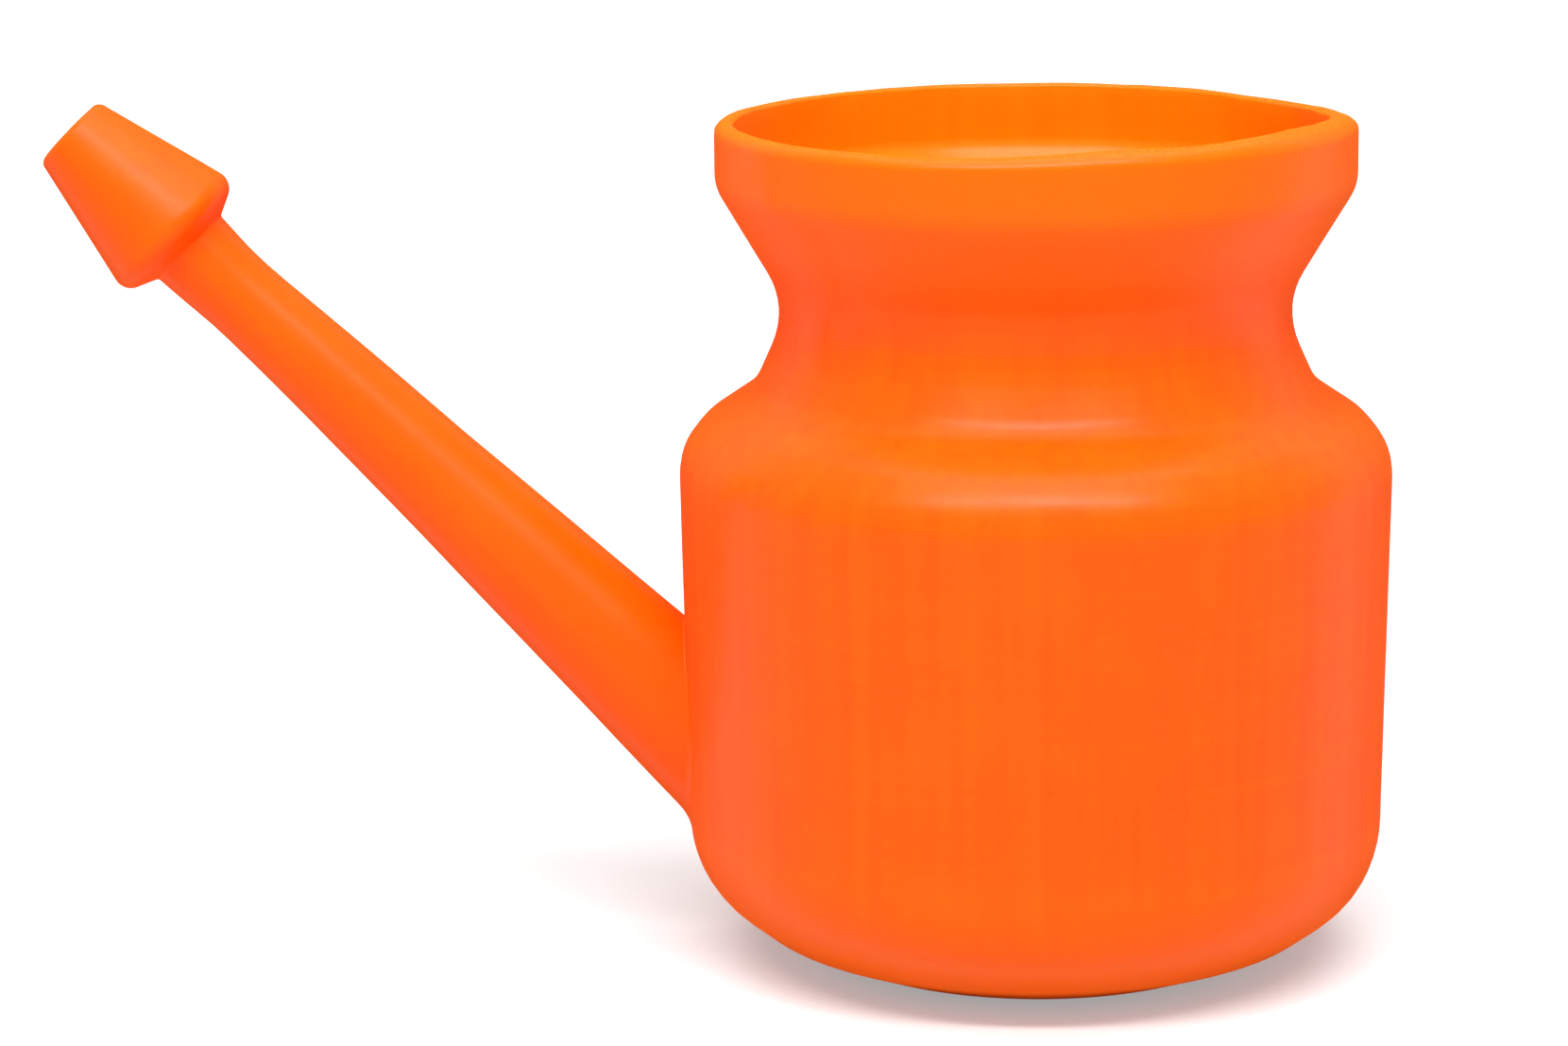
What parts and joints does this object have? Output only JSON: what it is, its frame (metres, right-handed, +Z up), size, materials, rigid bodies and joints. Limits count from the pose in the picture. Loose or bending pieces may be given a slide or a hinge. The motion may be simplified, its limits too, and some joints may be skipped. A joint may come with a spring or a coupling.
{
  "type": "neti pot",
  "caption": "Wide-mouthed moulded pot with a waisted neck and a long slanted spout that ends in a conical nozzle, for pouring a nasal rinse.",
  "frame": {"origin": "on the pot's own axis, at the height of the ring that it stands on", "axes": "+Z up along the pot's axis, the spout and its nozzle point to -X, and Y = 0 is the plane in which the two mould halves meet"},
  "size_m": [0.1737, 0.0918, 0.1116],
  "materials": {
    "pot_plastic": "satin"
  },
  "bodies": {
    "root": {"pot": "pot_plastic"}
  },
  "joints": []
}
